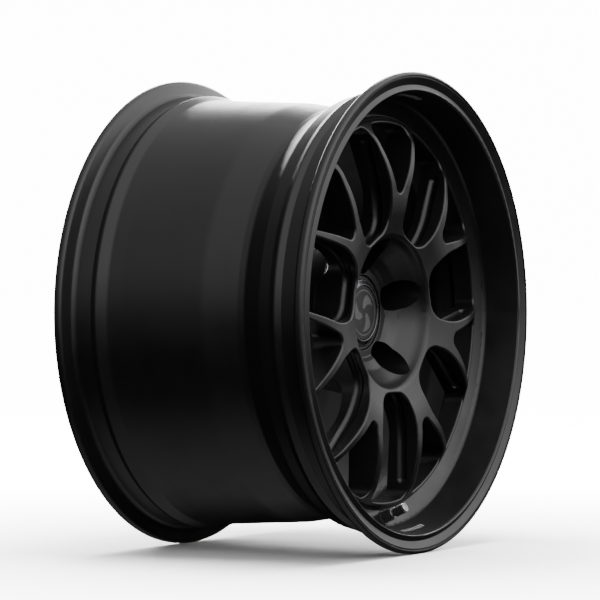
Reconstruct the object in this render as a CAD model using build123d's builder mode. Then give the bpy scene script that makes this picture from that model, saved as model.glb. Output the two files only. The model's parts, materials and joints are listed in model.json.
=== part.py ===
from build123d import *
import os
from math import cos, radians, sin, tan

# ---------------------------------------------------------------------------
# Forged racing wheel, 18 x 10.5J, seven Y-shaped spokes.
# Frame: +Z up, the wheel turns about Y, and its outboard face looks along -Y.
# Origin: centre of the hub mounting face.  Sizes in millimetres.
# ---------------------------------------------------------------------------

# Rim
FLANGE_R = 248.5              # 18 in bead seat plus the 17.5 mm J flange
BEAD_R = 231.0
OVERALL_WIDTH = 290.6         # 10.5 in between the flanges plus two 12 mm flanges
OFFSET = 25.0                 # ET: mounting face to the rim's centre plane
FRONT = OFFSET - OVERALL_WIDTH / 2   # Y of the outboard flange face
DEPTH = -FRONT                # depth of the mounting face behind that flange face

# Spokes and windows
SPOKES = 7
PITCH = 360 / SPOKES
STEM_HALF = 15.7              # half width of a spoke's stem
WINDOW_HALF = 37.7            # half width of the large window between two spokes
WINDOW_FOOT_R = 84.0          # where the large window starts, beside the hub
WINDOW_TOP_R = 196.3          # where every window ends, at the ring
FORK_APEX_R = 115.5           # where the inner sides of a spoke's two arms would meet
FORK_HALF_ANGLE = 29.9        # each of those sides leans this far off the spoke's line
FORK_R = 9.0
SIDE_BEND_R = 84.0            # long bend where the large window stops widening
FOOT_BEND_R = 21.0
LARGE_TOP_R = 10.0
SMALL_TOP_R = 10.0
WINDOW_CUT_DEPTH = 45.0       # middle of the window cut
WINDOW_CUT_HALF = 35.0
FACE_EDGE_DEPTH = 46.0        # rounded edges are the ones ahead of this depth
FACE_EDGE_RISE = 25.0
EDGE_R = 2.0                  # rounding along the face edges of the windows
GROOVE_R = 6.4                # ball-nose cutter of the side grooves
GROOVE_INSET = 2.2            # the cutter's centre runs this far outside the spoke
GROOVE_DEPTH = 44.5           # the groove's centre line, behind the flange face
GROOVE_END_R = 174.0

# Hub
BORE_R = 36.3                 # 72.6 mm centre bore
LUGS = 5
LUG_PCD = 120.0
LUG_HOLE_R = 7.25
LUG_SEAT_R = 11.4
LUG_POCKET_R = 15.5
LUG_POCKET_INNER_R = 56.0      # the pocket is a short radial slot between these two centres
LUG_POCKET_OUTER_R = 61.4
LUG_SEAT_Y = -17.0            # the mouth of the conical lug seat
LUG_SEAT_ANGLE = 60
PAD_R = 79.0                  # outer radius of the mounting pad
PAD_POCKET_R = 12.0           # pockets between the lugs lighten the pad
PAD_POCKET_DEPTH = 34.0
RECESS_R = 39.2               # front recess that takes the centre cap
RECESS_DEPTH = 76.5           # its floor, behind the flange face
BOSS_DEPTH = 70.5             # the flat round the cap, behind the flange face

# Ring cone and the valve hole, which is square to it
RING_INNER_R = 204.0
RING_INNER_DEPTH = 50.0
RING_OUTER_R = 222.5
VALVE_TILT = 25.0
VALVE_R = 213.2
VALVE_HOLE_R = 5.75
SPOTFACE = 0.6
SPOTFACE_R = 8.4
VALVE_WALL = 6.0              # metal left between the spotface and the counterbore
COUNTERBORE_R = 10.5
RING_SLOPE = tan(radians(VALVE_TILT))
RING_OUTER_DEPTH = RING_INNER_DEPTH - (RING_OUTER_R - RING_INNER_R) * RING_SLOPE
VALVE_DEPTH = RING_INNER_DEPTH - (VALVE_R - RING_INNER_R) * RING_SLOPE

# Centre cap; depths are behind the flange face
CAP_BORE_R = 37.0             # bore ahead of the hub bore, gripped by the O-ring
CAP_BORE_END = 95.3
CAP_FLANGE_R = 38.6
CAP_SEAT_DEPTH = 72.2         # front of the body's flange, where the trim is bonded
CAP_SKIRT_R = 36.3
CAP_SKIRT_INNER_R = 31.5
CAP_SKIRT_END = 92.0
O_RING_SECTION_R = 1.0
O_RING_R = CAP_BORE_R - 0.05 - O_RING_SECTION_R
O_RING_DEPTH = 85.0
O_RING_GROOVE_HALF = 1.2
BEZEL_INNER_R = 28.4
BEZEL_LAND_R = 30.0           # the bezel slopes from here to its outer edge
BEZEL_OUTER_R = 35.4
BEZEL_FRONT = 68.6
BEZEL_REAR = 71.4
EMBLEM_R = 28.1
EMBLEM_FRONT = 69.4
ADHESIVE_R = 27.1
ADHESIVE_FRONT = 71.4

# Clamp-in valve; lengths run out along its stem from the ring's face
INNER_SEAT = -SPOTFACE - VALVE_WALL   # the tyre side of the wall it clamps
SEAL_R = 8.8
SEAL_END = INNER_SEAT - 1.2
HEAD_R = 8.2
HEAD_END = SEAL_END - 2.6
SHANK_R = 5.6
NECK_R = 3.85                 # 8V1 thread, 7.7 mm over its crests
STEM_END = 25.0
AIR_BORE_R = 1.6
CORE_BORE_R = 2.55
CORE_BORE_START = 4.0
WASHER_R = 7.6
WASHER_END = 0.9
NUT_FLATS = 12.0
NUT_END = 10.4
COLLAR_R = 6.0                # round collar on the end of the nut
COLLAR_END = 11.8
SHOULDER_END = COLLAR_END + 1.4

# Valve cap
CAP_R = 5.2
CAP_START = 15.4
CAP_END = 26.6
THREAD_FIT = 0.06
CAP_FLUTES = 24
FLUTE_R = 0.4
CAP_SEAL_END = STEM_END + 0.8
CAP_SEAL_R = NECK_R - 0.1
CAP_SEAL_HOLE_R = 1.2
CROWN_R = 5.1
CROWN_RIM_R = 3.5             # inside of the raised rim on the crown
CROWN_END = 28.8
CROWN_DISH = 28.2

# Valve core, screwed into the stem; a spring pushes its pin outward and shuts the cup
PLUG_R = CORE_BORE_R - 0.05
PLUG_HOLE_R = 0.95
PLUG_START = 20.5
PLUG_END = 24.2
BARREL_R = 2.05
BARREL_BORE_R = 1.4
BARREL_HOLE_R = 0.8
BARREL_START = 10.5
BARREL_FLOOR = 11.5
BARREL_SEAL_START = 13.0
BARREL_SEAL_END = 15.5
BARREL_SEAL_TAPER = 0.25
PIN_R = 0.5
PIN_START = 7.3
PIN_END = 24.7
PIN_COLLAR_R = 0.95
PIN_COLLAR_START = 18.2
PIN_COLLAR_END = 19.0
CUP_R = 1.9
CUP_START = 7.9
CUP_END = 9.6
CUP_GASKET_R = 1.8
SPRING_R = 1.0
SPRING_WIRE_R = 0.17
SPRING_TURNS = 7

os.makedirs("parts", exist_ok=True)


def turned(corners, plane=Plane.XY):
    """Spin (radius, length, rounding) corners about the plane's own Y axis."""
    with BuildPart() as piece:
        with BuildSketch(plane):
            with BuildLine():
                FilletPolyline(
                    *[(radius, length) for radius, length, _ in corners],
                    radius=[rounding for _, _, rounding in corners],
                    close=True,
                )
            make_face()
        revolve(axis=Axis(plane.origin, plane.y_dir))
    return piece.part


def behind(corners):
    """Turn depths behind the flange face into lengths along the axle."""
    return [(radius, FRONT + depth, rounding) for radius, depth, rounding in corners]


def save(part, label):
    part.label = label
    export_step(part, f"parts/{label}.step")


# ---------------------------------------------------------------------------
# Forging: one turned section, then the windows, grooves and holes
# ---------------------------------------------------------------------------

# Each corner of the section: radius, depth behind the flange face, rounding.
SECTION = [
    # face side, from the outer bead down the lip to the ring
    (FLANGE_R, 0.0, 3.0),
    (244.9, 0.0, 0.3),
    (244.5, 1.6, 0.2),
    (243.4, 1.6, 0.2),
    (243.0, 0.7, 0.3),
    (235.2, 3.7, 0.5),
    (229.6, 1.3, 1.0),
    (228.4, 3.6, 1.0),
    (RING_OUTER_R, RING_OUTER_DEPTH, 6.0),
    (RING_INNER_R, RING_INNER_DEPTH, 2.5),
    (200.8, 42.6, 3.0),
    (183.0, 31.4, 40.0),
    (150.0, 23.4, 110.0),
    (112.0, 26.4, 110.0),
    # hub bowl
    (79.3, 34.2, 7.0),
    (74.8, 44.5, 20.0),
    (60.0, 61.2, 10.0),
    (50.8, 66.6, 1.5),
    (47.2, BOSS_DEPTH, 2.0),
    (RECESS_R, BOSS_DEPTH, 0.8),
    # bores
    (RECESS_R, RECESS_DEPTH, 0.0),
    (CAP_BORE_R, RECESS_DEPTH, 0.0),
    (CAP_BORE_R, CAP_BORE_END, 0.0),
    (BORE_R, CAP_BORE_END, 0.0),
    # mounting pad and the back of the spokes
    (BORE_R, DEPTH, 1.0),
    (PAD_R, DEPTH, 2.5),
    (90.0, 64.0, 14.0),
    (126.0, 59.0, 100.0),
    (196.0, 63.0, 30.0),
    (208.6, 70.0, 9.0),
    # inside of the barrel
    (209.4, 94.0, 25.0),
    (214.9, 114.0, 60.0),
    (221.0, 226.0, 60.0),
    (226.2, 262.0, 30.0),
    (228.6, OVERALL_WIDTH - 3.0, 3.0),
    (232.0, OVERALL_WIDTH, 1.5),
    # rear flange, bead seat and hump
    (FLANGE_R, OVERALL_WIDTH, 3.6),
    (FLANGE_R, 281.8, 4.0),
    (BEAD_R, 277.4, 6.0),
    (229.3, 257.0, 1.2),
    (231.9, 250.5, 4.0),
    (226.9, 239.0, 8.0),
    # outside of the barrel and the drop well
    (225.6, 222.7, 60.0),
    (220.3, 131.0, 60.0),
    (214.0, 93.0, 12.0),
    (213.8, 84.5, 8.0),
    (226.2, 62.0, 12.0),
    (229.2, 47.0, 8.0),
    (231.9, 40.5, 4.0),
    (229.3, 33.6, 1.2),
    (BEAD_R, 13.2, 6.0),
    (FLANGE_R, 8.8, 4.0),
]
blank = turned(behind(SECTION))

# The stem's side is parallel to the spoke; in the window's own frame it leans half a pitch.
LEAN = radians(PITCH / 2)
foot_slope = tan(LEAN)
stem_x = STEM_HALF / cos(LEAN)
foot_half = WINDOW_FOOT_R * foot_slope - stem_x
side_start = (WINDOW_HALF + stem_x) / foot_slope

with BuildSketch() as large_window:
    with BuildLine():
        FilletPolyline(
            (FLANGE_R, -WINDOW_HALF),
            (side_start, -WINDOW_HALF),
            (WINDOW_FOOT_R, -foot_half),
            (WINDOW_FOOT_R, foot_half),
            (side_start, WINDOW_HALF),
            (FLANGE_R, WINDOW_HALF),
            radius=[0.0, SIDE_BEND_R, FOOT_BEND_R, FOOT_BEND_R, SIDE_BEND_R, 0.0],
            close=True,
        )
    make_face()
    Circle(WINDOW_TOP_R, mode=Mode.INTERSECT)
    fillet(large_window.vertices().group_by(Axis.X)[-1], radius=LARGE_TOP_R)

fork_reach = (FLANGE_R - FORK_APEX_R) * tan(radians(FORK_HALF_ANGLE))
with BuildSketch() as small_window:
    with BuildLine():
        FilletPolyline(
            (FLANGE_R, -fork_reach),
            (FORK_APEX_R, 0),
            (FLANGE_R, fork_reach),
            radius=[0.0, FORK_R, 0.0],
            close=True,
        )
    make_face()
    Circle(WINDOW_TOP_R, mode=Mode.INTERSECT)
    fillet(small_window.vertices().group_by(Axis.X)[-1], radius=SMALL_TOP_R)

# One groove runs up both sides of a large window and round its foot.
inset_half = WINDOW_HALF - GROOVE_INSET
inset_stem_x = (STEM_HALF + GROOVE_INSET) / cos(LEAN)
inset_foot_r = WINDOW_FOOT_R + GROOVE_INSET
inset_foot_half = inset_foot_r * foot_slope - inset_stem_x
inset_side_start = (inset_half + inset_stem_x) / foot_slope
groove_plane = Plane(
    origin=(0, FRONT + GROOVE_DEPTH, 0),
    x_dir=(sin(LEAN), 0, cos(LEAN)),
    z_dir=(0, -1, 0),
)
with BuildPart() as groove_cutter:
    with BuildLine(groove_plane) as groove_path:
        FilletPolyline(
            (GROOVE_END_R, -inset_half),
            (inset_side_start, -inset_half),
            (inset_foot_r, -inset_foot_half),
            (inset_foot_r, inset_foot_half),
            (inset_side_start, inset_half),
            (GROOVE_END_R, inset_half),
            radius=[
                SIDE_BEND_R - GROOVE_INSET,
                FOOT_BEND_R - GROOVE_INSET,
                FOOT_BEND_R - GROOVE_INSET,
                SIDE_BEND_R - GROOVE_INSET,
            ],
        )
    with BuildSketch(Plane(groove_path.wire() @ 0, z_dir=groove_path.wire() % 0)):
        Circle(GROOVE_R)
    sweep(path=groove_path.wire())
    with Locations(groove_path.wire() @ 0, groove_path.wire() @ 1):
        Sphere(GROOVE_R)

valve_origin = Vector(0, FRONT + VALVE_DEPTH, -VALVE_R)
valve_out = Vector(0, -cos(radians(VALVE_TILT)), sin(radians(VALVE_TILT)))
valve_plane = Plane(valve_origin, x_dir=(1, 0, 0), z_dir=Vector(1, 0, 0).cross(valve_out))
valve_face = Plane(valve_origin, x_dir=(1, 0, 0), z_dir=valve_out)

with BuildPart() as wheel_forging:
    add(blank)
    # windows, cut along the axle through the disc only
    with BuildSketch(Plane.XZ.offset(-(FRONT + WINDOW_CUT_DEPTH))):
        with PolarLocations(0, SPOKES, start_angle=90 + PITCH / 2):
            add(large_window.sketch)
        with PolarLocations(0, SPOKES, start_angle=90):
            add(small_window.sketch)
    extrude(amount=WINDOW_CUT_HALF, both=True, mode=Mode.SUBTRACT)
    face_edges = wheel_forging.edges(Select.LAST).filter_by(
        lambda edge: edge.center().Y < FRONT + FACE_EDGE_DEPTH and edge.bounding_box().size.Y < FACE_EDGE_RISE
    )
    fillet(face_edges, radius=EDGE_R)
    # side grooves
    for index in range(SPOKES):
        add(groove_cutter.part.rotate(Axis.Y, index * PITCH), mode=Mode.SUBTRACT)
    # lug holes with conical seats, reached through pockets from the face
    with BuildSketch(Plane.XZ.offset(-LUG_SEAT_Y)):
        with PolarLocations((LUG_POCKET_INNER_R + LUG_POCKET_OUTER_R) / 2, LUGS, start_angle=90):
            SlotCenterToCenter(LUG_POCKET_OUTER_R - LUG_POCKET_INNER_R, 2 * LUG_POCKET_R)
    extrude(amount=DEPTH, mode=Mode.SUBTRACT)
    with Locations(Plane.XZ.offset(-LUG_SEAT_Y)):
        with PolarLocations(LUG_PCD / 2, LUGS, start_angle=90):
            CounterSinkHole(LUG_HOLE_R, LUG_SEAT_R, depth=DEPTH, counter_sink_angle=LUG_SEAT_ANGLE)
    with BuildSketch(Plane.XZ):
        with PolarLocations(LUG_PCD / 2, LUGS, start_angle=90 + 180 / LUGS):
            Circle(PAD_POCKET_R)
    extrude(amount=PAD_POCKET_DEPTH, mode=Mode.SUBTRACT)
    # valve hole, with a flat for the washer and a counterbore on the tyre side
    with BuildSketch(valve_face.offset(INNER_SEAT)):
        Circle(VALVE_HOLE_R)
    extrude(amount=VALVE_WALL, mode=Mode.SUBTRACT)
    with BuildSketch(valve_face.offset(-SPOTFACE)):
        Circle(SPOTFACE_R)
    extrude(amount=COUNTERBORE_R, mode=Mode.SUBTRACT)
    with BuildSketch(valve_face.offset(INNER_SEAT)):
        Circle(COUNTERBORE_R)
    extrude(amount=-STEM_END, mode=Mode.SUBTRACT)
save(wheel_forging.part, "wheel_forging")

# ---------------------------------------------------------------------------
# Centre cap: a hollow body held by an O-ring, with a bezel and an emblem disc
# ---------------------------------------------------------------------------

CAP_BODY = [
    (0.0, CAP_SEAT_DEPTH, 0.0),
    (CAP_FLANGE_R, CAP_SEAT_DEPTH, 0.4),
    (CAP_FLANGE_R, RECESS_DEPTH, 0.0),
    (CAP_SKIRT_R, RECESS_DEPTH, 0.0),
    (CAP_SKIRT_R, O_RING_DEPTH - O_RING_GROOVE_HALF, 0.0),
    (O_RING_R - O_RING_SECTION_R, O_RING_DEPTH - O_RING_GROOVE_HALF, 0.0),
    (O_RING_R - O_RING_SECTION_R, O_RING_DEPTH + O_RING_GROOVE_HALF, 0.0),
    (CAP_SKIRT_R, O_RING_DEPTH + O_RING_GROOVE_HALF, 0.0),
    (CAP_SKIRT_R, CAP_SKIRT_END, 1.5),
    (CAP_SKIRT_INNER_R, CAP_SKIRT_END, 0.5),
    (CAP_SKIRT_INNER_R, RECESS_DEPTH, 1.0),
    (0.0, RECESS_DEPTH, 0.0),
]
save(turned(behind(CAP_BODY)), "center_cap_body")

CAP_BEZEL = [
    (BEZEL_INNER_R, CAP_SEAT_DEPTH, 0.0),
    (BEZEL_INNER_R, BEZEL_FRONT, 0.5),
    (BEZEL_LAND_R, BEZEL_FRONT, 1.2),
    (BEZEL_OUTER_R, BEZEL_REAR, 0.4),
    (BEZEL_OUTER_R, CAP_SEAT_DEPTH, 0.0),
]
save(turned(behind(CAP_BEZEL)), "center_cap_bezel")

CAP_EMBLEM = [
    (0.0, ADHESIVE_FRONT, 0.0),
    (0.0, EMBLEM_FRONT, 0.0),
    (EMBLEM_R, EMBLEM_FRONT, 0.5),
    (EMBLEM_R, ADHESIVE_FRONT, 0.0),
]
save(turned(behind(CAP_EMBLEM)), "center_cap_emblem")

CAP_ADHESIVE = [
    (0.0, CAP_SEAT_DEPTH, 0.0),
    (0.0, ADHESIVE_FRONT, 0.0),
    (ADHESIVE_R, ADHESIVE_FRONT, 0.1),
    (ADHESIVE_R, CAP_SEAT_DEPTH, 0.0),
]
save(turned(behind(CAP_ADHESIVE)), "center_cap_adhesive")

with BuildPart() as o_ring:
    with BuildSketch(Plane.XY):
        with Locations((O_RING_R, FRONT + O_RING_DEPTH)):
            Circle(O_RING_SECTION_R)
    revolve(axis=Axis.Y)
save(o_ring.part, "center_cap_o_ring")

# ---------------------------------------------------------------------------
# Clamp-in tyre valve
# ---------------------------------------------------------------------------

STEM = [
    (AIR_BORE_R, HEAD_END, 0.3),
    (HEAD_R, HEAD_END, 0.6),
    (HEAD_R, SEAL_END, 0.0),
    (SHANK_R, SEAL_END, 0.0),
    (SHANK_R, SHOULDER_END, 0.8),
    (NECK_R, SHOULDER_END, 0.3),
    (NECK_R, STEM_END, 0.5),
    (CORE_BORE_R, STEM_END, 0.2),
    (CORE_BORE_R, CORE_BORE_START, 0.0),
    (AIR_BORE_R, CORE_BORE_START, 0.0),
]
save(turned(STEM, valve_plane), "valve_stem")

BASE_SEAL = [
    (VALVE_HOLE_R, SEAL_END, 0.0),
    (SEAL_R, SEAL_END, 0.2),
    (SEAL_R, INNER_SEAT, 0.2),
    (VALVE_HOLE_R, INNER_SEAT, 0.0),
]
save(turned(BASE_SEAL, valve_plane), "valve_base_seal")

WASHER = [
    (VALVE_HOLE_R, -SPOTFACE, 0.0),
    (WASHER_R, -SPOTFACE, 0.0),
    (WASHER_R, WASHER_END, 0.3),
    (VALVE_HOLE_R, WASHER_END, 0.0),
]
save(turned(WASHER, valve_plane), "valve_washer")

with BuildPart() as valve_nut:
    with BuildSketch(valve_face.offset(WASHER_END)):
        RegularPolygon(NUT_FLATS / 2, 6, major_radius=False)
        Circle(SHANK_R, mode=Mode.SUBTRACT)
    extrude(amount=NUT_END - WASHER_END)
    with BuildSketch(valve_face.offset(NUT_END)):
        Circle(COLLAR_R)
        Circle(SHANK_R, mode=Mode.SUBTRACT)
    extrude(amount=COLLAR_END - NUT_END)
save(valve_nut.part, "valve_nut")

with BuildPart() as valve_cap:
    with BuildSketch(valve_face.offset(CAP_START)):
        Circle(CAP_R)
        with PolarLocations(CAP_R, CAP_FLUTES):
            Circle(FLUTE_R, mode=Mode.SUBTRACT)
    extrude(amount=CAP_END - CAP_START)
    with BuildSketch(valve_face.offset(CAP_START)):
        Circle(NECK_R + THREAD_FIT)
    extrude(amount=CAP_SEAL_END - CAP_START, mode=Mode.SUBTRACT)
save(valve_cap.part, "valve_cap_shell")

CROWN = [
    (0.0, CAP_END, 0.0),
    (CROWN_R, CAP_END, 0.2),
    (CROWN_R, CROWN_END, 0.7),
    (CROWN_RIM_R, CROWN_END, 0.3),
    (CROWN_RIM_R, CROWN_DISH, 0.2),
    (0.0, CROWN_DISH, 0.0),
]
save(turned(CROWN, valve_plane), "valve_cap_crown")

CAP_SEAL = [
    (CAP_SEAL_HOLE_R, STEM_END, 0.1),
    (CAP_SEAL_R, STEM_END, 0.1),
    (CAP_SEAL_R, CAP_SEAL_END, 0.0),
    (CAP_SEAL_HOLE_R, CAP_SEAL_END, 0.0),
]
save(turned(CAP_SEAL, valve_plane), "valve_cap_seal")

# ---------------------------------------------------------------------------
# Valve core
# ---------------------------------------------------------------------------

CORE_PLUG = [
    (PLUG_HOLE_R, PLUG_START, 0.0),
    (PLUG_R, PLUG_START, 0.1),
    (PLUG_R, PLUG_END, 0.1),
    (PLUG_HOLE_R, PLUG_END, 0.0),
]
save(turned(CORE_PLUG, valve_plane), "core_plug")

CORE_BARREL = [
    (BARREL_HOLE_R, BARREL_START, 0.0),
    (BARREL_R, BARREL_START, 0.1),
    (BARREL_R, PLUG_START, 0.0),
    (BARREL_BORE_R, PLUG_START, 0.0),
    (BARREL_BORE_R, BARREL_FLOOR, 0.0),
    (BARREL_HOLE_R, BARREL_FLOOR, 0.0),
]
save(turned(CORE_BARREL, valve_plane), "core_barrel")

BARREL_SEAL = [
    (BARREL_R, BARREL_SEAL_START, 0.0),
    (CORE_BORE_R - BARREL_SEAL_TAPER, BARREL_SEAL_START, 0.1),
    (CORE_BORE_R, BARREL_SEAL_END, 0.0),
    (BARREL_R, BARREL_SEAL_END, 0.0),
]
save(turned(BARREL_SEAL, valve_plane), "core_barrel_seal")

CORE_PIN = [
    (0.0, PIN_START, 0.0),
    (PIN_R, PIN_START, 0.1),
    (PIN_R, PIN_COLLAR_START, 0.0),
    (PIN_COLLAR_R, PIN_COLLAR_START, 0.0),
    (PIN_COLLAR_R, PIN_COLLAR_END, 0.1),
    (PIN_R, PIN_COLLAR_END, 0.0),
    (PIN_R, PIN_END, 0.1),
    (0.0, PIN_END, 0.0),
]
save(turned(CORE_PIN, valve_plane), "core_pin")

CORE_CUP = [
    (PIN_R, CUP_START, 0.0),
    (CUP_R, CUP_START, 0.3),
    (CUP_R, CUP_END, 0.0),
    (PIN_R, CUP_END, 0.0),
]
save(turned(CORE_CUP, valve_plane), "core_cup")

CUP_GASKET = [
    (PIN_R, CUP_END, 0.0),
    (CUP_GASKET_R, CUP_END, 0.0),
    (CUP_GASKET_R, BARREL_START, 0.1),
    (PIN_R, BARREL_START, 0.0),
]
save(turned(CUP_GASKET, valve_plane), "core_cup_gasket")

spring_height = PIN_COLLAR_START - BARREL_FLOOR - 2 * SPRING_WIRE_R
spring_foot = valve_origin + valve_out * (BARREL_FLOOR + SPRING_WIRE_R)
with BuildPart() as core_spring:
    with BuildLine() as coil:
        Helix(spring_height / SPRING_TURNS, spring_height, SPRING_R, center=spring_foot, direction=valve_out)
    with BuildSketch(Plane(coil.line @ 0, z_dir=coil.line % 0)):
        Circle(SPRING_WIRE_R)
    sweep(path=coil.line, is_frenet=True)
save(core_spring.part, "core_spring")
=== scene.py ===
import json
import math

import bmesh
import bpy
from mathutils import Matrix, Vector


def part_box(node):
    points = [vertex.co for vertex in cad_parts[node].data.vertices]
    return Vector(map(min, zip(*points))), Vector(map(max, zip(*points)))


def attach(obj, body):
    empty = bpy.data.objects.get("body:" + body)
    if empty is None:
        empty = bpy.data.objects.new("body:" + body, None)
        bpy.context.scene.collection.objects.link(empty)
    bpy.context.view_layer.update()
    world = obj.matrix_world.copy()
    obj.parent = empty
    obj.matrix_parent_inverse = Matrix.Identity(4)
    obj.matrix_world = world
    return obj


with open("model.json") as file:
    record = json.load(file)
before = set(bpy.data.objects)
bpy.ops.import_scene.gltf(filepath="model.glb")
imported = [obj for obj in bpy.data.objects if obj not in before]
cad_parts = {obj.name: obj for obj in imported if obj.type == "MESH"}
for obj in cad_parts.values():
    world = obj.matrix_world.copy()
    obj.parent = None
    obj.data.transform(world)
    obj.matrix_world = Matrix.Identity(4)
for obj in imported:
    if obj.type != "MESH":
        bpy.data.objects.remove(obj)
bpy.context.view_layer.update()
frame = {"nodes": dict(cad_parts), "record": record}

# ---------------------------------------------------------------------------
# Driving dimensions, in metres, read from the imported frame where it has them
# ---------------------------------------------------------------------------

INBOARD = Vector((0, 1, 0))
FORGING_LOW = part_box("wheel_forging")[0]
FACE_Y = FORGING_LOW.y                # outboard flange face
FLOOR_Z = FORGING_LOW.z
CAP_CENTRE = Vector((0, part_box("center_cap_bezel")[0].y, 0))
JOINTS = frame["record"]["behaviour"]["joints"]
VALVE = next(joint for joint in JOINTS if joint["name"] == "valve_cap_screw")
VALVE_POINT = Vector(VALVE["pos_m"])  # on the valve's axis, inside its cap
VALVE_OUT = Vector(VALVE["axis"])


# ---------------------------------------------------------------------------
# Materials
# ---------------------------------------------------------------------------


class Surface:
    """A Principled material with helpers for its procedural nodes."""

    def __init__(self, name, color, roughness, **fixed):
        self.material = bpy.data.materials.new(name)
        self.material.use_nodes = True
        self.nodes = self.material.node_tree.nodes
        self.links = self.material.node_tree.links
        self.shader = self.nodes["Principled BSDF"]
        self.shader.inputs["Base Color"].default_value = (*color, 1.0)
        self.shader.inputs["Roughness"].default_value = roughness
        for socket, value in fixed.items():
            self.shader.inputs[socket.replace("_", " ")].default_value = value
        self.place = self.nodes.new("ShaderNodeTexCoord").outputs["Object"]

    def noise(self, scale, detail=3.0, roughness=0.5):
        node = self.nodes.new("ShaderNodeTexNoise")
        node.inputs["Scale"].default_value = scale
        node.inputs["Detail"].default_value = detail
        node.inputs["Roughness"].default_value = roughness
        self.links.new(self.place, node.inputs["Vector"])
        return node.outputs["Fac"]

    def spread(self, value, low, high, start=0.3, end=0.7):
        """Map a noise value to the range low..high."""
        node = self.nodes.new("ShaderNodeMapRange")
        node.inputs["From Min"].default_value = start
        node.inputs["From Max"].default_value = end
        node.inputs["To Min"].default_value = low
        node.inputs["To Max"].default_value = high
        self.links.new(value, node.inputs["Value"])
        return node.outputs["Result"]

    def blend(self, factor, first, second):
        node = self.nodes.new("ShaderNodeMix")
        node.data_type = "RGBA"
        node.inputs["A"].default_value = (*first, 1.0)
        node.inputs["B"].default_value = (*second, 1.0)
        self.links.new(factor, node.inputs["Factor"])
        return node.outputs["Result"]

    def bump(self, height, distance, strength=1.0):
        node = self.nodes.new("ShaderNodeBump")
        node.inputs["Distance"].default_value = distance
        node.inputs["Strength"].default_value = strength
        before = self.shader.inputs["Normal"].links
        if before:
            self.links.new(before[0].from_socket, node.inputs["Normal"])
        self.links.new(height, node.inputs["Height"])
        self.links.new(node.outputs["Normal"], self.shader.inputs["Normal"])

    def color(self, socket):
        self.links.new(socket, self.shader.inputs["Base Color"])

    def rough(self, socket):
        self.links.new(socket, self.shader.inputs["Roughness"])


def satin_black():
    """Satin black coating: orange peel, a finer grain, and slow changes of tone and gloss."""
    coat = Surface("satin_black_coating", (0.02, 0.02, 0.022), 0.34)
    tone = coat.spread(coat.noise(9.0), 0.0, 1.0)
    coat.color(coat.blend(tone, (0.006, 0.006, 0.0062), (0.010, 0.010, 0.0104)))
    coat.rough(coat.spread(coat.noise(26.0, 6.0, 0.6), 0.27, 0.38))
    coat.bump(coat.noise(230.0, 2.0), 0.00005, 0.30)
    coat.bump(coat.noise(1500.0, 2.0), 0.00002, 0.35)
    return coat.material


def plain(name, color, roughness, grain=900.0, **fixed):
    """A machined, moulded or plated surface: slight tone and gloss changes and a fine grain."""
    surface = Surface(name, color, roughness, **fixed)
    tone = surface.spread(surface.noise(60.0), 0.0, 1.0)
    dark = tuple(c * 0.85 for c in color)
    surface.color(surface.blend(tone, dark, color))
    surface.rough(surface.spread(surface.noise(240.0, 4.0), roughness * 0.85, min(1.0, roughness * 1.2)))
    surface.bump(surface.noise(grain, 2.0), 0.00003, 0.4)
    return surface.material


materials = {
    "satin_black_coating": satin_black(),
    "cap_black": plain("cap_black", (0.02, 0.02, 0.022), 0.25),
    "cap_bezel": plain("cap_bezel", (0.16, 0.16, 0.17), 0.24, Metallic=1.0),
    "cap_emblem": plain("cap_emblem", (0.07, 0.07, 0.074), 0.30, Metallic=1.0),
    "adhesive_foam": plain("adhesive_foam", (0.12, 0.12, 0.12), 0.9),
    "black_rubber": plain("black_rubber", (0.025, 0.025, 0.025), 0.75),
    "nickel_brass": plain("nickel_brass", (0.22, 0.22, 0.22), 0.30, Metallic=1.0),
    "black_anodised": plain("black_anodised", (0.03, 0.03, 0.033), 0.35),
    "valve_crown": plain("valve_crown", (0.42, 0.42, 0.43), 0.34, Metallic=1.0),
    "core_brass": plain("core_brass", (0.72, 0.56, 0.27), 0.3, Metallic=1.0),
    "core_sealing": plain("core_sealing", (0.5, 0.08, 0.06), 0.7),
    "print_white": plain("print_white", (0.42, 0.42, 0.42), 0.5),
    "print_grey": plain("print_grey", (0.55, 0.55, 0.56), 0.35, Metallic=1.0),
    "badge_metal": plain("badge_metal", (0.20, 0.20, 0.205), 0.30, Metallic=1.0),
    "spring_wire": plain("spring_wire", (0.6, 0.6, 0.6), 0.3, Metallic=1.0),
}

for entry in frame["record"]["subparts"]:
    node = frame["nodes"][entry["node"]]
    node.data.materials.clear()
    node.data.materials.append(materials[entry["material_slot"]])

# ---------------------------------------------------------------------------
# Printed and raised details that follow the CAD surfaces they lie on
# ---------------------------------------------------------------------------

PRINT = 0.00012               # a printed mark stands this far off the coating
RELIEF = 0.00025              # raised figures on the cap and the valve
SUNK = 0.00005                # how far a detail's underside is let into its surface
REACH = 0.004                 # rays start this far ahead of a face
STEP = math.radians(0.5)

LIP_START_R = 0.218
LIP_NEAR = 0.0183             # band of the lip wall that carries the printed marks
LIP_FAR = 0.0245
MARK_ARC = 12.0
MARK_SLANT = 0.35             # share of the band's width that a bar leans over
MARK_R = 0.22                 # radius at which that lean is turned into an angle
MARKS = {"lip_mark_top": 87.0, "lip_mark_bottom": -85.5}
MARK_BARS = 9                 # equal bars, each as wide as the band
BAR_SHARE = 0.55              # share of a bar's pitch that is printed

TICKS = 72
TICK_SHARE = 0.45
TICK_INNER = 0.0334
TICK_OUTER = 0.0344
BADGE_RING = (0.0228, 0.0242)
BADGE_BLADES = 3
BADGE_BLADE = (0.0045, 0.0195)
BADGE_BLADE_ARC = 52.0
BADGE_BLADE_SWEEP = 46.0
CROWN_RING = (0.0019, 0.0025)
CROWN_AHEAD = 0.012           # from VALVE_POINT to a point beyond the crown


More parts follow.
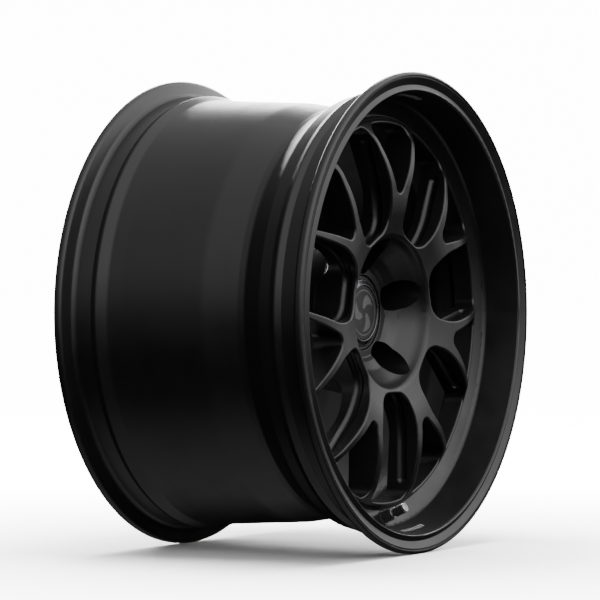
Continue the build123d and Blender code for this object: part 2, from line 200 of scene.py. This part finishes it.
def across(look):
    """Two unit directions that span the plane square to look."""
    first = Vector((1, 0, 0))
    return first, look.cross(first).normalized()


def face_ray(centre, look):
    """Rays that strike a face from ahead of it, by angle and radius about centre."""
    first, second = across(look)

    def ray(angle, radius):
        out = first * math.cos(angle) + second * math.sin(angle)
        return centre - look * REACH + out * radius, look

    return ray


def lip_ray(angle, depth):
    """A ray outwards, just inside the lip wall, that strikes it at that depth behind the flange face."""
    out = Vector((math.cos(angle), 0, math.sin(angle)))
    return Vector((0, FACE_Y + depth, 0)) + out * LIP_START_R, out


def add_patch(made, node, ray, angles, radii, lift, sweep=0.0):
    """A thin plate on node's surface between two angles and two radii; its far side is turned by sweep."""
    inverse = node.matrix_world.inverted()
    turn = inverse.to_3x3()
    steps = max(1, math.ceil(abs(angles[1] - angles[0]) / STEP))
    rows = max(1, math.ceil(abs(sweep) / (4 * STEP)))
    top, under = [], []
    for row in range(rows + 1):
        share = row / rows
        radius = radii[0] + (radii[1] - radii[0]) * share
        for step in range(steps + 1):
            angle = angles[0] + (angles[1] - angles[0]) * step / steps + sweep * share
            start, look = ray(angle, radius)
            hit, place, _, _ = node.ray_cast(inverse @ start, turn @ look)
            if not hit:
                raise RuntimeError("a detail misses its surface")
            place = node.matrix_world @ place
            top.append(made.verts.new(place - look * lift))
            under.append(made.verts.new(place + look * SUNK))
    width = steps + 1
    for row in range(rows):
        for step in range(steps):
            corner = row * width + step
            loop = (corner, corner + 1, corner + width + 1, corner + width)
            made.faces.new([top[i] for i in loop])
            made.faces.new([under[i] for i in reversed(loop)])
    rim = (
        [i for i in range(width)]
        + [row * width + steps for row in range(1, rows + 1)]
        + [rows * width + step for step in range(steps - 1, -1, -1)]
        + [row * width for row in range(rows - 1, 0, -1)]
    )
    for here, there in zip(rim, rim[1:] + rim[:1]):
        made.faces.new((top[here], under[here], under[there], top[there]))


def add_ring(made, node, ray, radii, lift):
    """A full ring, as two halves that meet."""
    for start in (0.0, math.pi):
        add_patch(made, node, ray, (start, start + math.pi), radii, lift)


def finish_piece(name, made, body, finish):
    """Turn made into an object that rides on body."""
    bmesh.ops.recalc_face_normals(made, faces=made.faces)
    mesh = bpy.data.meshes.new(name)
    made.to_mesh(mesh)
    made.free()
    mesh.materials.append(materials[finish])
    built = bpy.data.objects.new(name, mesh)
    bpy.context.collection.objects.link(built)
    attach(built, body)


def lip_mark(name, centre):
    """A printed row of plain slanted bars on the lip wall."""
    made = bmesh.new()
    arc = math.radians(MARK_ARC)
    start = math.radians(centre) - arc / 2
    band = LIP_FAR - LIP_NEAR
    pitch = arc / MARK_BARS
    slant = MARK_SLANT * band / MARK_R
    for bar in range(MARK_BARS):
        ends = (start + pitch * bar, start + pitch * (bar + BAR_SHARE))
        add_patch(made, frame["nodes"]["wheel_forging"], lip_ray, ends, (LIP_NEAR, LIP_FAR), PRINT, slant)
    finish_piece(name, made, "wheel", "print_white")


def bezel_ticks():
    """Fine ticks round the edge of the cap's bezel."""
    made = bmesh.new()
    ray = face_ray(CAP_CENTRE, INBOARD)
    pitch = math.tau / TICKS
    for tick in range(TICKS):
        ends = (tick * pitch, (tick + TICK_SHARE) * pitch)
        add_patch(made, frame["nodes"]["center_cap_bezel"], ray, ends, (TICK_INNER, TICK_OUTER), PRINT)
    finish_piece("bezel_ticks", made, "center_cap", "print_grey")


def badge():
    """A plain figure of a ring and swept blades on the cap's emblem disc."""
    made = bmesh.new()
    disc = frame["nodes"]["center_cap_emblem"]
    ray = face_ray(CAP_CENTRE, INBOARD)
    add_ring(made, disc, ray, BADGE_RING, RELIEF)
    for blade in range(BADGE_BLADES):
        start = math.tau * blade / BADGE_BLADES
        ends = (start, start + math.radians(BADGE_BLADE_ARC))
        add_patch(made, disc, ray, ends, BADGE_BLADE, RELIEF, math.radians(BADGE_BLADE_SWEEP))
    finish_piece("cap_badge", made, "center_cap", "badge_metal")


def crown_figure():
    """A raised ring in the dish of the valve cap's crown."""
    made = bmesh.new()
    crown = frame["nodes"]["valve_cap_crown"]
    ray = face_ray(VALVE_POINT + VALVE_OUT * CROWN_AHEAD, -VALVE_OUT)
    add_ring(made, crown, ray, CROWN_RING, RELIEF)
    finish_piece("crown_figure", made, "valve_cap", "valve_crown")


for mark, centre in MARKS.items():
    lip_mark(mark, centre)
bezel_ticks()
badge()
crown_figure()

# ---------------------------------------------------------------------------
# Stage, lights and camera
# ---------------------------------------------------------------------------

UP = Vector((0, 0, 1))
FORWARD = Vector((0.8635, 0.5043, 0.0)).normalized()
RIGHT = FORWARD.cross(UP)
LENS = 182.95
CAMERA_BACK = 3.1462
CAMERA_SIDE = -0.12623
CAMERA_RISE = 0.0133
FLOOR_R = 6.0
DOME_R = 8.0
WHITE_START = 0.27            # the floor fades to the white of the dome between these distances
WHITE_END = 1.4
WHITE = 14.0
BACK_SOFTBOX = {"place": FORWARD * 2.0 + UP * 0.8, "size": (3.0, 0.8), "power": 120.0}
OVERHEAD = {"place": UP * 2.2, "size": (1.6, 1.6), "power": 260.0}
STEEP = 0.95                  # a light this close to upright takes its own up from FORWARD


def facing(place, direction, up=UP):
    """Matrix of a camera or light at place that looks along direction."""
    back = -Vector(direction).normalized()
    side = up.cross(back).normalized()
    turn = Matrix((side, back.cross(side), back)).transposed().to_4x4()
    return Matrix.Translation(place) @ turn


def add_camera():
    data = bpy.data.cameras.new("camera")
    data.lens = LENS
    data.sensor_width = 36.0
    camera = bpy.data.objects.new("camera", data)
    bpy.context.collection.objects.link(camera)
    place = Vector((0, FACE_Y, 0)) + RIGHT * CAMERA_SIDE + UP * CAMERA_RISE - FORWARD * CAMERA_BACK
    camera.matrix_world = facing(place, FORWARD)
    bpy.context.scene.camera = camera


def add_area(name, place, size, power):
    """A rectangular light that faces the wheel's centre."""
    data = bpy.data.lights.new(name, "AREA")
    data.shape = "RECTANGLE"
    data.size, data.size_y = size
    data.energy = power
    light = bpy.data.objects.new(name, data)
    bpy.context.collection.objects.link(light)
    steep = abs(place.normalized().z) >= STEEP
    light.matrix_world = facing(place, -place, FORWARD if steep else UP)
    return light


def stage_piece(name, mesh, material):
    """A stage object that the camera sees and the wheel doesn't reflect."""
    mesh.materials.append(material)
    built = bpy.data.objects.new(name, mesh)
    bpy.context.collection.objects.link(built)
    built.visible_diffuse = False
    built.visible_glossy = False
    built.visible_shadow = False
    return built


def white_dome():
    """A plain white surround."""
    made = bmesh.new()
    bmesh.ops.create_uvsphere(made, u_segments=48, v_segments=24, radius=DOME_R)
    mesh = bpy.data.meshes.new("dome")
    made.to_mesh(mesh)
    made.free()
    surface = Surface("dome_white", (1.0, 1.0, 1.0), 1.0, Emission_Strength=WHITE)
    stage_piece("dome", mesh, surface.material)


def pale_floor():
    """A pale disc that takes the wheel's shadow and fades into the white surround."""
    made = bmesh.new()
    bmesh.ops.create_circle(made, cap_ends=True, segments=96, radius=FLOOR_R)
    mesh = bpy.data.meshes.new("floor")
    made.to_mesh(mesh)
    made.free()
    surface = Surface("floor_pale", (0.95, 0.95, 0.95), 0.9, Emission_Color=(1.0, 1.0, 1.0, 1.0))
    away = surface.nodes.new("ShaderNodeVectorMath")
    away.operation = "LENGTH"
    surface.links.new(surface.place, away.inputs[0])
    glow = surface.spread(away.outputs["Value"], 0.0, WHITE, WHITE_START, WHITE_END)
    surface.links.new(glow, surface.shader.inputs["Emission Strength"])
    floor = stage_piece("floor", mesh, surface.material)
    floor.location.z = FLOOR_Z
    return floor


# The studio's own light, by direction: dim below, bright above, brighter ahead of the outboard face than behind.
DIM_END = -0.93               # how far towards BRIGHT_SIDE the light starts
HIGH = 2.7
HORIZON_START = -0.20
HORIZON_END = 0.36
FLOOR_GLOW = 0.35             # light that comes back up from the floor
GLOW_START = 0.6
GLOW_END = 0.95
BRIGHT_SIDE = Vector((0.1, -0.995, 0.0))


def studio_world():
    world = bpy.data.worlds.new("studio")
    world.use_nodes = True
    nodes = world.node_tree.nodes
    links = world.node_tree.links
    direction = nodes.new("ShaderNodeTexCoord").outputs["Generated"]

    def along(axis):
        node = nodes.new("ShaderNodeVectorMath")
        node.operation = "DOT_PRODUCT"
        node.inputs[1].default_value = axis
        links.new(direction, node.inputs[0])
        return node.outputs["Value"]

    def ramp(value, start, end, high, shape="SMOOTHSTEP"):
        node = nodes.new("ShaderNodeMapRange")
        node.interpolation_type = shape
        node.inputs["From Min"].default_value = start
        node.inputs["From Max"].default_value = end
        node.inputs["To Min"].default_value = 0.0
        node.inputs["To Max"].default_value = high
        links.new(value, node.inputs["Value"])
        return node.outputs["Result"]

    def combine(operation, first, second):
        node = nodes.new("ShaderNodeMath")
        node.operation = operation
        links.new(first, node.inputs[0])
        links.new(second, node.inputs[1])
        return node.outputs["Value"]

    side = ramp(along(BRIGHT_SIDE), DIM_END, 1.0, HIGH, "LINEAR")
    rise = ramp(along(UP), HORIZON_START, HORIZON_END, 1.0)
    below = ramp(along(-UP), GLOW_START, GLOW_END, FLOOR_GLOW)
    links.new(combine("ADD", combine("MULTIPLY", side, rise), below), nodes["Background"].inputs["Strength"])
    nodes["Background"].inputs["Color"].default_value = (1.0, 1.0, 1.0, 1.0)
    bpy.context.scene.world = world


white_dome()
floor_only = bpy.data.collections.new("floor_only")
floor_only.objects.link(pale_floor())
overhead = add_area("overhead_on_floor", **OVERHEAD)
overhead.light_linking.receiver_collection = floor_only
studio_world()
add_area("back_softbox", **BACK_SOFTBOX)
add_camera()
